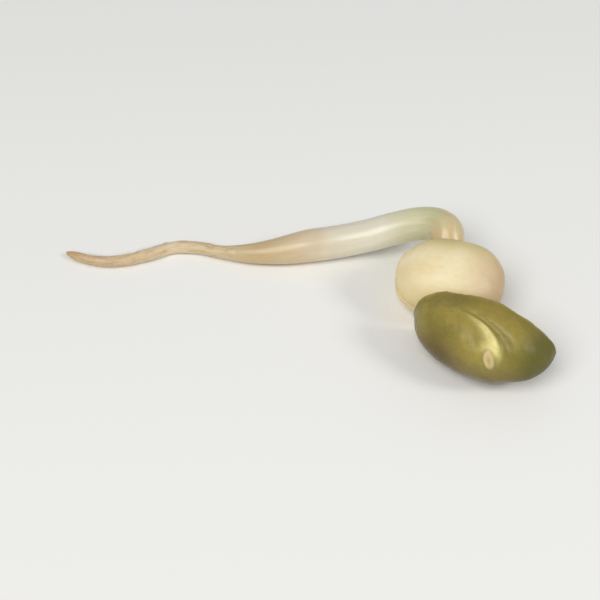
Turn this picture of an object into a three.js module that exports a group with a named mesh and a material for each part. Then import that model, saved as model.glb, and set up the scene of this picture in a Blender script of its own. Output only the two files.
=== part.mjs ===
// A single mung bean sprout lying on a table, in millimetres, +Z up.
// Its organs: two cream seed leaves (cotyledons), the olive seed coat slipping off their front,
// the white stem (hypocotyl) that leaves the back of the bean in a hook and tapers into the root,
// and the pale tip of the first leaves in the parting between the seed leaves.

import * as THREE from "three";

// ---------------------------------------------------------------- driving dimensions

// The bean: both seed leaves together. Local X runs along it, local Y towards the side
// where the stem leaves, local Z across the seam.
const BEAN_LENGTH = 6.9;
const BEAN_WIDTH = 5.0;
const BEAN_THICKNESS = 4.6;
const BEAN_SQUARENESS = 2.25;
const BEAN_YAW_DEG = -11;
const BEAN_LEAN_DEG = 18;

// The seam between the seed leaves: the gap on its plane, and how far the edges round off.
const SEAM_GAP = 0.16;
const SEAM_ROUNDING = 0.36;

// The slight waist on the side where the stem leaves.
const WAIST = { depth: 0.05, reachX: 1.6 };

// Where the seed leaves part to let out the stem, and next to it the first leaves.
const STEM_PARTING = { x: -0.55, y: 2.5, open: 0.66, reachX: 1.5, reachY: 1.6 };
const LEAF_PARTING = { x: 1.9, y: 2.0, open: 0.42, reachX: 1.3, reachY: 1.3 };

// The seed coat: a torn skin, larger than the bean and slipped off it forwards and to +X.
// Its reach is how far it covers round from its closed end to its mouth.
const COAT_LENGTH = 8.8;
const COAT_WIDTH = 7.2;
const COAT_THICKNESS = 5.2;
const COAT_WALL = 0.66;
const COAT_SLIP = 3.95;
const COAT_SHIFT_X = 2.25;
const COAT_YAW_DEG = -16;
const COAT_LEAN_DEG = 6;
const COAT_TOP_REACH_DEG = 84;
const COAT_UNDER_REACH_DEG = 106;
const COAT_LEFT_EXTRA_DEG = 6;
const COAT_CLEARANCE = 0.16;
const COAT_CLING = 0.1;
const COAT_RIM_ROUNDING = 0.03;

// The uneven mouth of the coat: waves round it, and how late on the way there they begin.
const MOUTH_WAVES = [
  { count: 3, depthDeg: 2.6, phase: 0.8 },
  { count: 7, depthDeg: 1.8, phase: 2.1 },
];
const MOUTH_ONSET = 2.5;

// The tear that runs in from the mouth of the coat across its outer end.
const TEAR_DIRECTION_DEG = 118;
const TEAR_DEPTH_DEG = 34;
const TEAR_HALF_WIDTH_DEG = 12;
const TEAR_CURL = 0.16;
const TEAR_CURL_HALF_WIDTH_DEG = 22;
const TEAR_CURL_START = 0.55;

// A fold across the coat: a ridge with a groove beside it.
const FOLD_RIDGE = { x: -0.8, height: 0.2, halfWidth: 0.6 };
const FOLD_GROOVE = { x: 0.25, height: -0.34, halfWidth: 0.45 };

// How the fold leans over towards the closed end, and where it fades below and at the mouth.
const FOLD_LEAN = 0.5;
const FOLD_FADE = { from: -1.7, to: 0.2 };
const FOLD_END = { from: 0.55, to: 1.05 };

// The stem and root: one tapering organ.
const STEM_RADIUS = 1.1;
const NECK_RADIUS = 0.9;
const NECK_FLATNESS = 0.4;
const MID_ROOT_RADIUS = 0.42;
const ROOT_RADIUS = 0.31;
const ROOT_END = 29;
const NECK_LENGTH = 2.4;
const TAPER_START = 12;
const TAPER_END = 22;
const COLLAR = { at: 16.5, swelling: 0.06, halfLength: 1.4 };
const TIP_LENGTH = 1.3;
const TIP_BLUNTNESS = 0.28;
const NECK_DEPTH = 1.05;
const NECK_RISE = 0.7;
const LIFT_SOFTNESS = 0.12;

// The first leaves: a folded pair, mostly hidden.
const LEAF_LENGTH = 2.5;
const LEAF_WIDTH = 1.35;
const LEAF_THICKNESS = 0.74;
const LEAF_TAPER = 0.35;
const LEAF_CLEFT = { depth: 0.3, halfWidth: 0.3 };
const LEAF_PLACE = { x: 1.75, y: 1.65, turnDeg: -8 };

// How deep the organs press flat against the table where they rest on it.
const COAT_PRESS = 0.1;
const BEAN_PRESS = 0.12;
const STEM_PRESS = 0.04;

// Mesh fineness.
const BEAN_SEGMENTS = 30;
const BEAN_RINGS = 18;
const LEAF_SEGMENTS = 16;
const LEAF_RINGS = 12;
const COAT_SEGMENTS = 52;
const COAT_STEPS = 13;
const STEM_SIDES = 16;
const STEM_RINGS = 84;
const LAY_STEPS = 60;

const { degToRad, lerp, smoothstep } = THREE.MathUtils;

// ---------------------------------------------------------------- helpers

/** Moves every vertex of a geometry by a function that takes and returns a Vector3. */
function reshape(geometry, move) {
  const position = geometry.attributes.position;
  const point = new THREE.Vector3();
  for (let i = 0; i < position.count; i += 1) {
    point.fromBufferAttribute(position, i);
    const moved = move(point);
    position.setXYZ(i, moved.x, moved.y, moved.z);
  }
  geometry.computeVertexNormals();
  return geometry;
}

/** A bell curve of height 1 at zero. */
function bell(distance, halfWidth) {
  return Math.exp(-((distance / halfWidth) ** 2));
}

/** The signed angle from one direction to another, in degrees, within half a turn. */
function angleBetweenDeg(fromDeg, toDeg) {
  return THREE.MathUtils.euclideanModulo(toDeg - fromDeg + 180, 360) - 180;
}

/** Presses flat whatever of a placed mesh would reach below the table. */
function flattenOnTable(mesh) {
  mesh.updateWorldMatrix(true, false);
  const toLocal = mesh.matrixWorld.clone().invert();
  reshape(mesh.geometry, (point) => {
    point.applyMatrix4(mesh.matrixWorld);
    point.z = Math.max(point.z, 0);
    return point.applyMatrix4(toLocal);
  });
}

/** Sets a holder's height so that a mesh in it presses into the table by a small depth. */
function restOnTable(holder, mesh, press) {
  holder.position.z = 0;
  holder.updateWorldMatrix(true, true);
  holder.position.z = -new THREE.Box3().setFromObject(mesh, true).min.z - press;
  flattenOnTable(mesh);
}

// ---------------------------------------------------------------- materials

const cotyledonMaterial = new THREE.MeshStandardMaterial({
  color: "#f0dfae",
  roughness: 0.45,
  metalness: 0,
});

const coatMaterial = new THREE.MeshStandardMaterial({
  color: "#8f8440",
  roughness: 0.35,
  metalness: 0,
});

const stemMaterial = new THREE.MeshStandardMaterial({
  color: "#e6dec5",
  roughness: 0.4,
  metalness: 0,
});

const leafMaterial = new THREE.MeshStandardMaterial({
  color: "#d9d98a",
  roughness: 0.5,
  metalness: 0,
});

// ---------------------------------------------------------------- seed leaves

/** How far each seed leaf is lifted off the seam plane at a place on its outline. */
function partingAt(x, y) {
  return [STEM_PARTING, LEAF_PARTING].reduce((lift, parting) => {
    const across = bell(x - parting.x, parting.reachX);
    const along = bell(y - parting.y, parting.reachY);
    return lift + parting.open * across * along;
  }, 0);
}

/** One seed leaf: domed outside, nearly flat inside, with rounded edges at the seam. */
function makeCotyledon(name, side) {
  const dome = BEAN_THICKNESS / 2 - SEAM_GAP / 2 - SEAM_ROUNDING;
  const geometry = new THREE.SphereGeometry(1, BEAN_SEGMENTS, BEAN_RINGS);
  geometry.rotateZ(Math.PI / 2);
  reshape(geometry, (unit) => {
    const power = BEAN_SQUARENESS;
    const sum = Math.abs(unit.x) ** power + Math.abs(unit.y) ** power + Math.abs(unit.z) ** power;
    const squared = unit.clone().multiplyScalar(sum ** (-1 / power));
    const x = squared.x * BEAN_LENGTH / 2;
    const waist = 1 - WAIST.depth * bell(x, WAIST.reachX) * smoothstep(squared.y, 0, 1);
    const y = squared.y * waist * BEAN_WIDTH / 2;
    const outwards = Math.max(unit.z, 0);
    const inwards = Math.sqrt(Math.max(0, 1 - (1 - Math.min(unit.z, 0) ** 2) ** 3));
    const lift = partingAt(x, y) * (1 - outwards);
    const fromSeam = Math.max(squared.z, 0) * dome - inwards * SEAM_ROUNDING;
    return unit.set(x, y, SEAM_GAP / 2 + SEAM_ROUNDING + fromSeam + lift);
  });
  if (side < 0) {
    geometry.scale(1, 1, -1);
    flipFaces(geometry);
  }
  const mesh = new THREE.Mesh(geometry, cotyledonMaterial);
  mesh.name = name;
  return mesh;
}

/** Turns every triangle over, for a geometry that has been mirrored. */
function flipFaces(geometry) {
  const index = geometry.index;
  for (let i = 0; i < index.count; i += 3) {
    const second = index.getX(i + 1);
    index.setX(i + 1, index.getX(i + 2));
    index.setX(i + 2, second);
  }
  geometry.computeVertexNormals();
}

// ---------------------------------------------------------------- first leaves

/** The folded first leaves: a flat pointed body with a cleft along its outer edge. */
function makeFirstLeaves() {
  const geometry = new THREE.SphereGeometry(1, LEAF_SEGMENTS, LEAF_RINGS);
  geometry.rotateZ(Math.PI / 2);
  reshape(geometry, (unit) => {
    const taper = 1 - LEAF_TAPER * smoothstep(unit.x, 0, 1);
    const cleft = 1 - LEAF_CLEFT.depth * bell(unit.z, LEAF_CLEFT.halfWidth) * smoothstep(unit.y, 0, 1);
    unit.x *= LEAF_LENGTH / 2;
    unit.y *= taper * cleft * LEAF_WIDTH / 2;
    unit.z *= LEAF_THICKNESS / 2;
    return unit;
  });
  const mesh = new THREE.Mesh(geometry, leafMaterial);
  mesh.name = "first_leaves";
  mesh.position.set(LEAF_PLACE.x, LEAF_PLACE.y, 0);
  mesh.rotation.z = degToRad(LEAF_PLACE.turnDeg);
  return mesh;
}

// ---------------------------------------------------------------- seed coat

/** How far round from its closed end the coat has come, at a share of the way to its mouth. */
function coatReachDeg(share, directionDeg) {
  const turn = degToRad(directionDeg);
  const ragged = MOUTH_WAVES.reduce((sum, wave) => {
    return sum + wave.depthDeg * Math.sin(wave.count * turn + wave.phase);
  }, 0);
  const tear = bell(angleBetweenDeg(directionDeg, TEAR_DIRECTION_DEG), TEAR_HALF_WIDTH_DEG);
  const mouth = lerp(COAT_UNDER_REACH_DEG, COAT_TOP_REACH_DEG, (1 + Math.cos(turn)) / 2);
  const slant = COAT_LEFT_EXTRA_DEG * Math.sin(turn);
  return share * mouth + share ** MOUTH_ONSET * (ragged - slant - TEAR_DEPTH_DEG * tear);
}

/** How far the edges of the tear curl outwards at a place on the coat. */
function tearCurl(share, directionDeg) {
  const nearness = bell(angleBetweenDeg(directionDeg, TEAR_DIRECTION_DEG), TEAR_CURL_HALF_WIDTH_DEG);
  return TEAR_CURL * nearness * smoothstep(share, TEAR_CURL_START, 1);
}

/** The ridge and groove that cross the coat, fading towards its underside and its mouth. */
function coatFold(point, share) {
  const upwards = smoothstep(point.z, FOLD_FADE.from, FOLD_FADE.to);
  const fade = upwards * (1 - smoothstep(share, FOLD_END.from, FOLD_END.to));
  return [FOLD_RIDGE, FOLD_GROOVE].reduce((rise, fold) => {
    const line = fold.x - FOLD_LEAN * point.y;
    return rise + fold.height * fade * bell(point.x - line, fold.halfWidth);
  }, 0);
}

/** Stretches a point of the coat outwards where the bean is in its way, by a soft margin. */
function stretchOverBean(point, offset, coatToBean, beanToCoat) {
  point.applyMatrix4(coatToBean);
  const power = BEAN_SQUARENESS;
  const x = Math.abs(point.x) / (BEAN_LENGTH / 2 + offset);
  const y = Math.abs(point.y) / (BEAN_WIDTH / 2 + offset);
  const z = Math.abs(point.z) / (BEAN_THICKNESS / 2 + offset);
  const push = (x ** power + y ** power + z ** power) ** (-1 / power);
  const softened = (1 + push + Math.hypot(push - 1, COAT_CLING)) / 2;
  return point.multiplyScalar(softened).applyMatrix4(beanToCoat);
}

/** The outline of a unit bowl: up the outside, over the rim and back down the inside. */
function bowlOutline(inner) {
  const outline = [];
  for (let i = 0; i <= COAT_STEPS; i += 1) {
    const reach = (i / COAT_STEPS) * Math.PI / 2;
    outline.push(new THREE.Vector2(Math.sin(reach), -Math.cos(reach)));
  }
  outline.push(new THREE.Vector2((1 + inner) / 2, COAT_RIM_ROUNDING));
  for (let i = COAT_STEPS; i >= 0; i -= 1) {
    const reach = (i / COAT_STEPS) * Math.PI / 2;
    outline.push(new THREE.Vector2(inner * Math.sin(reach), -inner * Math.cos(reach)));
  }
  return outline;
}

/** The seed coat: a thick-skinned egg, open at the back (+Y), with a torn mouth. */
function makeSeedCoat(coatToBean) {
  const beanToCoat = coatToBean.clone().invert();
  const inner = 0.8;
  const geometry = new THREE.LatheGeometry(bowlOutline(inner), COAT_SEGMENTS);
  const half = new THREE.Vector3(COAT_LENGTH, COAT_WIDTH, COAT_THICKNESS).divideScalar(2);
  const normal = new THREE.Vector3();
  reshape(geometry, (unit) => {
    const distance = unit.length();
    const depth = (1 - distance) / (1 - inner);
    const share = Math.acos(THREE.MathUtils.clamp(-unit.y / distance, -1, 1)) / (Math.PI / 2);
    const around = Math.atan2(unit.x, unit.z);
    const directionDeg = THREE.MathUtils.radToDeg(around);
    const reach = degToRad(coatReachDeg(share, directionDeg));
    unit.x = half.x * Math.sin(reach) * Math.sin(around);
    unit.y = -half.y * Math.cos(reach);
    unit.z = half.z * Math.sin(reach) * Math.cos(around);
    normal.copy(unit).divide(half).divide(half).normalize();
    const curl = tearCurl(share, directionDeg);
    const rise = coatFold(unit, share) * Math.sin(reach) + curl;
    unit.addScaledVector(normal, rise - COAT_WALL * depth);
    const offset = COAT_CLEARANCE + COAT_WALL * (1 - depth) + curl;
    return stretchOverBean(unit, offset, coatToBean, beanToCoat);
  });
  const mesh = new THREE.Mesh(geometry, coatMaterial);
  mesh.name = "seed_coat";
  return mesh;
}

// ---------------------------------------------------------------- stem and root

/** The radius of the stem and root at a distance along them, without the end rounding. */
function stemRadius(along) {
  const stem = lerp(NECK_RADIUS, STEM_RADIUS, smoothstep(along, 0, NECK_LENGTH));
  const root = lerp(MID_ROOT_RADIUS, ROOT_RADIUS, smoothstep(along, TAPER_END, ROOT_END));
  const collar = COLLAR.swelling * bell(along - COLLAR.at, COLLAR.halfLength);
  return lerp(stem, root, smoothstep(along, TAPER_START, TAPER_END)) + collar;
}

/** The centre line: from inside the parting, round the hook, along the table to the root tip. */
function stemCurve(node, exit) {
  const inside = node.clone().addScaledVector(exit, -NECK_DEPTH);
  const outside = node.clone().addScaledVector(exit, NECK_RISE);
  const hook = [
    new THREE.Vector3(-0.12, 3.72, 3.28),
    new THREE.Vector3(-0.75, 4.4, 3.05),
    new THREE.Vector3(-1.9, 4.8, 2.65),
    new THREE.Vector3(-3.4, 4.95, 2.05),
    new THREE.Vector3(-5.1, 4.85, 1.5),
    new THREE.Vector3(-6.9, 4.65, 1.15),
  ];
  const tail = [
    new THREE.Vector3(-8.9, 4.35, 0.95),
    new THREE.Vector3(-11.0, 4.05, 0.8),
    new THREE.Vector3(-13.0, 4.05, 0.6),
    new THREE.Vector3(-14.8, 4.4, 0.3),
    new THREE.Vector3(-16.4, 4.85, 0.1),
    new THREE.Vector3(-18.0, 4.85, 0),
    new THREE.Vector3(-19.7, 4.2, 0),
    new THREE.Vector3(-21.6, 3.65, 0),
    new THREE.Vector3(-23.5, 3.8, 0),
    new THREE.Vector3(-25.2, 4.5, 0),
  ];
  const guides = [inside, outside, ...hook, ...tail];
  return layOnTable(new THREE.CatmullRomCurve3(guides, false, "centripetal"));
}

/** Lifts a centre line so that the organ round it lies on the table instead of sinking in. */
function layOnTable(curve) {
  const length = curve.getLength();
  const lifted = curve.getSpacedPoints(LAY_STEPS).map((point, i) => {
    const height = stemRadius(i / LAY_STEPS * length) - STEM_PRESS;
    const over = (point.z - height) / 2;
    point.z = height + over + Math.hypot(over, LIFT_SOFTNESS / 2);
    return point;
  });
  return new THREE.CatmullRomCurve3(lifted, false, "centripetal");
}

/** The tapering organ: a turned taper whose rings are set along the centre line. */
function makeStemAndRoot(curve) {
  const length = curve.getLength();
  const outline = [new THREE.Vector2(0, 0)];
  for (let i = 0; i <= STEM_RINGS; i += 1) {
    outline.push(new THREE.Vector2(1, i / STEM_RINGS));
  }
  outline.push(new THREE.Vector2(0, 1));
  const geometry = new THREE.LatheGeometry(outline, STEM_SIDES);
  const up = new THREE.Vector3(0, 0, 1);
  reshape(geometry, (unit) => {
    const along = unit.y * length;
    const tangent = curve.getTangentAt(unit.y);
    const sideways = new THREE.Vector3().crossVectors(tangent, up).normalize();
    const upwards = new THREE.Vector3().crossVectors(sideways, tangent);
    const fromTip = Math.min((length - along) / TIP_LENGTH, 1);
    const tip = Math.max(Math.sqrt(1 - (1 - fromTip) ** 2), TIP_BLUNTNESS);
    const radius = stemRadius(along) * tip;
    const flatness = lerp(NECK_FLATNESS, 1, smoothstep(along, 0, NECK_LENGTH));
    const place = curve.getPointAt(unit.y);
    place.addScaledVector(sideways, unit.x * radius);
    return place.addScaledVector(upwards, unit.z * radius * flatness);
  });
  const mesh = new THREE.Mesh(geometry, stemMaterial);
  mesh.name = "hypocotyl_and_root";
  return mesh;
}

// ---------------------------------------------------------------- assembly

const group = new THREE.Group();
const sprout = new THREE.Group();
group.add(sprout);

const bean = new THREE.Group();
bean.rotation.order = "ZYX";
bean.rotation.z = degToRad(BEAN_YAW_DEG);
bean.rotation.x = degToRad(BEAN_LEAN_DEG);
sprout.add(bean);

const upper = makeCotyledon("cotyledon_upper", 1);
const lower = makeCotyledon("cotyledon_lower", -1);
bean.add(upper, lower, makeFirstLeaves());
restOnTable(bean, lower, BEAN_PRESS);

const skin = new THREE.Group();
skin.rotation.order = "ZYX";
skin.rotation.z = degToRad(BEAN_YAW_DEG + COAT_YAW_DEG);
skin.rotation.x = degToRad(COAT_LEAN_DEG);
const coatDepth = COAT_WIDTH / 2 * Math.sin(skin.rotation.x);
const coatHeight = COAT_THICKNESS / 2 * Math.cos(skin.rotation.x);
skin.position.set(COAT_SHIFT_X, -COAT_SLIP, Math.hypot(coatDepth, coatHeight) - COAT_PRESS);
sprout.add(skin);
group.updateMatrixWorld(true);
const skinToBean = bean.matrixWorld.clone().invert().multiply(skin.matrixWorld);
const coat = makeSeedCoat(skinToBean);
skin.add(coat);
flattenOnTable(coat);

const node = new THREE.Vector3(STEM_PARTING.x, BEAN_WIDTH / 2, 0).applyMatrix4(bean.matrixWorld);
const exit = new THREE.Vector3(0, 1, 0).transformDirection(bean.matrixWorld);
const stem = makeStemAndRoot(stemCurve(node, exit));
sprout.add(stem);
flattenOnTable(stem);

// The origin is at the middle of the bottom of the whole sprout.
const extent = new THREE.Box3().setFromObject(sprout, true);
const middle = extent.getCenter(new THREE.Vector3());
sprout.position.set(-middle.x, -middle.y, -extent.min.z);

export default group;
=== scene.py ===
# %% [markdown]
# # A mung bean sprout, dressed in Blender
#
# The sprout lies on a table: two cream seed leaves, the olive seed coat slipping off their front,
# a white stem that leaves the back of the bean in a hook, and a thin tan root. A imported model
# holds its plain solids. Here every organ is made again as a fine mesh that keeps the solid's
# form, and gets the skin, colour and shine of the real plant.

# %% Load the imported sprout
import math
import random

import bmesh
import bpy
from mathutils import Matrix, Vector, noise


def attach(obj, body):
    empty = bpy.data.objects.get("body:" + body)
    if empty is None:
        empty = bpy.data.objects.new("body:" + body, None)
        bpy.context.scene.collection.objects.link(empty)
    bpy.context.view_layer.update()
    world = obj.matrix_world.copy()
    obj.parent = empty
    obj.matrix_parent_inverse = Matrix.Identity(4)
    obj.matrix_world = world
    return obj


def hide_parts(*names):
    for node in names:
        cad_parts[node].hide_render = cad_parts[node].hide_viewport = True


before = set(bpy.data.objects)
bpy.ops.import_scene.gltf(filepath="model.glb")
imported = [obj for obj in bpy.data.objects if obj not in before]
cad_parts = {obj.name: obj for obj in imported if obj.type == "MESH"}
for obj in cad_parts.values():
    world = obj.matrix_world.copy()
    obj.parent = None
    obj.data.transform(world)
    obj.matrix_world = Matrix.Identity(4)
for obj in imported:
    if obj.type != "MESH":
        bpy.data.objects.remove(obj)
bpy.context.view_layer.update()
print("solids:", sorted(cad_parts))

# %% [markdown]
# ## Measures and small tools
#
# A sprout is small, so its measures are given in millimetres and turned into metres once, when
# a mesh is made. Three curves do most of the shaping: a straight blend, a bell, and a soft step
# that rises from 0 to 1 across a zone. A zone is written as its start and its end.

# %% Curves that shape everything
MM = 0.001


def in_mm(metres):
    return [round(part / MM, 2) for part in metres]


def blend(start, end, share):
    return start + (end - start) * share


def soft_step(value, low, high):
    share = min(max((value - low) / (high - low), 0.0), 1.0)
    return share * share * (3.0 - 2.0 * share)


def bell(distance, half_width):
    return math.exp(-(distance / half_width) ** 2)


print("a bell one width away:", round(bell(1, 1), 3))

# %% [markdown]
# A mesh is a list of points and a list of faces. Beside them it can carry values for each point,
# such as how far along the stem a point lies. The materials read those values later, so that a
# colour follows the plant's own parts, whichever side is looked at.

# %% Turn points and faces into a piece that rides with the sprout
def into_scene(name, contents):
    thing = bpy.data.objects.new(name, contents)
    bpy.context.scene.collection.objects.link(thing)
    return thing


def make_piece(name, points, faces, values, grain, node):
    mesh = bpy.data.meshes.new(name)
    mesh.from_pydata([point * MM for point in points], [], faces)
    for value_name, numbers in values.items():
        layer = mesh.attributes.new(value_name, "FLOAT", "POINT")
        layer.data.foreach_set("value", numbers)
    layer = mesh.attributes.new("grain", "FLOAT_VECTOR", "POINT")
    layer.data.foreach_set("vector", [part for point in grain for part in point])
    mesh.shade_smooth()
    mesh.update()
    piece = into_scene(name, mesh)
    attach(piece, "root")
    if node:
        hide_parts(node)
    print(name, "has", len(faces), "faces")
    return piece


# %% Raise or sink every point along its own normal
def raise_skin(points, faces, relief):
    mesh = bpy.data.meshes.new("skin_probe")
    mesh.from_pydata(points, [], faces)
    mesh.update()
    normals = [vertex.normal.copy() for vertex in mesh.vertices]
    bpy.data.meshes.remove(mesh)
    return [point + normal * relief(index, point)
            for index, (point, normal) in enumerate(zip(points, normals))]


# %% A ball of even squares, with no pinched poles
BALL_CUTS = 72


def even_ball(cuts):
    shape = bmesh.new()
    bmesh.ops.create_cube(shape, size=2.0)
    bmesh.ops.subdivide_edges(shape, edges=shape.edges, cuts=cuts, use_grid_fill=True)
    quarter = math.pi / 4
    units = []
    for vertex in shape.verts:
        units.append(Vector([math.tan(part * quarter) for part in vertex.co]).normalized())
    faces = [tuple(vertex.index for vertex in face.verts) for face in shape.faces]
    shape.free()
    return units, faces


def press_on_table(points):
    return [Vector((point.x, point.y, max(point.z, 0.0))) for point in points]


ball_units, ball_faces = even_ball(BALL_CUTS)
print("ball:", len(ball_units), "points")

# %% [markdown]
# ## Where the bean and the coat lie
#
# The bean leans back on its lower seed leaf, so the seam between the seed leaves shows from the
# front. The coat has its own frame: it lies on its side, open at the back, turned further round.
# Each is drawn upright and laid down by one matrix, which is simpler than tilting every formula.
#
# Three of the places come from the solids: the shift that puts the middle of the whole sprout at
# the origin, and the heights at which the bean and the coat rest on the table.

# %% Frames of the bean and of the coat
SPROUT_SHIFT = Vector((9.50297, 0.84616, 0.0))
BEAN_YAW = math.radians(-11)
BEAN_LEAN = math.radians(18)
BEAN_HEIGHT = 2.27634
COAT_YAW = math.radians(-27)
COAT_LEAN = math.radians(6)
COAT_OFFSET = Vector((2.25, -3.95, 2.51299))


def lying_frame(place, yaw, lean):
    turn = Matrix.Rotation(yaw, 4, "Z") @ Matrix.Rotation(lean, 4, "X")
    return Matrix.Translation(place) @ turn


bean_frame = lying_frame(SPROUT_SHIFT + Vector((0, 0, BEAN_HEIGHT)), BEAN_YAW, BEAN_LEAN)
coat_frame = lying_frame(SPROUT_SHIFT + COAT_OFFSET, COAT_YAW, COAT_LEAN)
coat_to_bean = bean_frame.inverted() @ coat_frame
bean_to_coat = coat_to_bean.inverted()
print("bean centre:", [round(part, 2) for part in bean_frame.translation])

# %% [markdown]
# ## The seed leaves
#
# Each seed leaf is half of the bean: a full dome outside, nearly flat inside, with soft lips
# where the two meet. They are a store of starch, soft and dense like a peeled almond. A ball is
# squared off a little and its lower half pushed flat, which keeps the lips round. Sculpting by
# hand would also do, but a formula gives both halves the same seam.

# %% The form of one seed leaf
BEAN_LENGTH = 6.9
BEAN_WIDTH = 5.0
BEAN_THICKNESS = 4.6
BEAN_SQUARENESS = 2.25
SEAM_GAP = 0.09
LIP_ROUNDING = 0.26
INNER_FLATNESS = 3
WAIST_DEPTH = 0.05
WAIST_REACH = 1.6
STEM_PARTING = {"x": -0.55, "y": 2.5, "open": 0.66, "reach_x": 1.5, "reach_y": 1.6}
LEAF_PARTING = {"x": 1.9, "y": 2.0, "open": 0.42, "reach_x": 1.3, "reach_y": 1.3}


def squared_length(point, power):
    return sum(abs(part) ** power for part in point) ** (1 / power)


def parting_at(x, y):
    return sum(
        parting["open"] * bell(x - parting["x"], parting["reach_x"])
        * bell(y - parting["y"], parting["reach_y"])
        for parting in (STEM_PARTING, LEAF_PARTING)
    )


def seed_leaf_point(unit, side):
    squared = unit / squared_length(unit, BEAN_SQUARENESS)
    x = squared.x * BEAN_LENGTH / 2
    waist = 1 - WAIST_DEPTH * bell(x, WAIST_REACH) * soft_step(squared.y, 0, 1)
    y = squared.y * waist * BEAN_WIDTH / 2
    dome = BEAN_THICKNESS / 2 - SEAM_GAP / 2 - LIP_ROUNDING
    flat = math.sqrt(max(0.0, 1 - (1 - min(unit.z, 0.0) ** 2) ** INNER_FLATNESS))
    lift = parting_at(x, y) * (1 - max(unit.z, 0.0))
    z = SEAM_GAP / 2 + LIP_ROUNDING + max(squared.z, 0.0) * dome - flat * LIP_ROUNDING + lift
    return Vector((x, y, z * side))


print("top of the bean:", round(seed_leaf_point(Vector((0, 0, 1)), 1).z, 2), "mm above its seam")

# %% [markdown]
# The skin of a seed leaf is smooth but never perfect: it has slow swells, a few shallow dents
# from lying against its neighbours, and faint creases that run lengthwise towards the ends.

# %% Shallow dents
DENT_COUNT = 9
DENT_DEPTH = 0.05
DENT_SHARES = (0.4, 1.0)
DENT_WIDTHS = (0.12, 0.3)
DENT_LOWEST = 0.1


def leaf_dents(seed):
    dice = random.Random(seed)
    dents = []
    for _ in range(DENT_COUNT):
        spot = Vector((dice.uniform(-1, 1), dice.uniform(-1, 1), dice.uniform(DENT_LOWEST, 1)))
        width = dice.uniform(*DENT_WIDTHS)
        depth = dice.uniform(*DENT_SHARES) * DENT_DEPTH
        dents.append((spot.normalized(), width, depth))
    return dents


print("dents on each seed leaf:", DENT_COUNT, "up to", DENT_DEPTH, "mm deep")

# %% The relief of a seed leaf's skin
SWELL_SIZE = 1.7
SWELL_HEIGHT = 0.05
CREASE_HEIGHT = 0.012
CREASE_LONG = 1.8
CREASE_FINE = 0.3
CREASE_AT_MIDDLE = 0.35
CREASE_ZONE = (0.35, 0.95)
SEED_STEP_X = 11.3
SEED_STEP_Y = 5.1


def seed_leaf_relief(unit, point, dents, seed):
    away = Vector((seed * SEED_STEP_X, seed * SEED_STEP_Y, 0.0))
    swell = SWELL_HEIGHT * noise.noise(point / SWELL_SIZE + away)
    lengthwise = Vector((point.x / CREASE_LONG, point.y / CREASE_FINE, point.z / CREASE_FINE))
    towards_end = blend(CREASE_AT_MIDDLE, 1.0, soft_step(abs(unit.x), *CREASE_ZONE))
    crease = CREASE_HEIGHT * noise.noise(lengthwise + away) * towards_end
    dent = sum(depth * bell((unit - spot).length, width) for spot, width, depth in dents)
    return swell + crease - dent


print("swells:", SWELL_HEIGHT, "mm, creases:", CREASE_HEIGHT, "mm")

# %% [markdown]
# The colour of a seed leaf changes from place to place, so every point gets a value for each
# zone: the lips, darkened with painted shade in the seam; the far end, pinkish and darkened with
# painted shade; the inner face; the part round the stem, with a painted shadow of the hook; and
# the part by the coat, which is painted shade.
# Painting the zones by hand would do too, but values follow the form when it is changed.

# %% Colour zones of a seed leaf
# The lip zone gives a yellower tone and painted shade along the seam where the two seed leaves meet.
LIP_SHADE_LEVEL = 0.02
LIP_SHADE_WIDTH = 0.22
# The far end is pinkish, with painted shade on the side away from the key lamp.
FAR_END_SHADE_ZONE = (0.05, 0.95)
INNER_FACE_ZONE = (0.05, 0.4)
# The part of the flesh by the coat gets painted shade, where the coat's rim sits against the dome.
COAT_SHADE_ZONE = (0.2, 2.0)
# Round the parting the flesh is yellower where the stem joins; the second term is a painted shadow
# of the hook over the back of the dome.
HOOK_SHADOW_STRENGTH = 0.55
HOOK_SHADOW_WIDTH = 2.2
HOOK_SHADOW_ZONE = (0.6, 2.4)


def tint_and_hook_shadow_at(point):
    sideways = bell(point.x - STEM_PARTING["x"], HOOK_SHADOW_WIDTH)
    back = HOOK_SHADOW_STRENGTH * sideways * soft_step(point.y, *HOOK_SHADOW_ZONE)
    return min(parting_at(point.x, point.y) + back, 1.0)


def seed_leaf_zones(local):
    return {
        "lip_tint_and_shade": [bell(unit.z - LIP_SHADE_LEVEL, LIP_SHADE_WIDTH) for unit in ball_units],
        "far_end_tint_and_shade": [soft_step(unit.x, *FAR_END_SHADE_ZONE) for unit in ball_units],
        "inner_face": [soft_step(-unit.z, *INNER_FACE_ZONE) for unit in ball_units],
        "by_stem_and_hook_shadow": [tint_and_hook_shadow_at(point) for point in local],
        "painted_shade_by_coat": [1 - soft_step((bean_to_coat @ point).y, *COAT_SHADE_ZONE) for point in local],
    }


print("tint where the stem leaves:",
      round(tint_and_hook_shadow_at(Vector((STEM_PARTING["x"], STEM_PARTING["y"], 0))), 2))

# %% Build both seed leaves
def make_seed_leaf(name, node, side, seed):
    faces = ball_faces if side > 0 else [tuple(reversed(face)) for face in ball_faces]
    local = [seed_leaf_point(unit, side) for unit in ball_units]
    dents = leaf_dents(seed)
    skin = raise_skin(
        local, faces,
        lambda index, point: seed_leaf_relief(ball_units[index], point, dents, seed),
    )
    placed = press_on_table([bean_frame @ point for point in skin])
    return make_piece(name, placed, faces, seed_leaf_zones(local), skin, node)


upper_leaf = make_seed_leaf("seed_leaf_upper", "cotyledon_upper", side=1, seed=3)
lower_leaf = make_seed_leaf("seed_leaf_lower", "cotyledon_lower", side=-1, seed=8)

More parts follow.
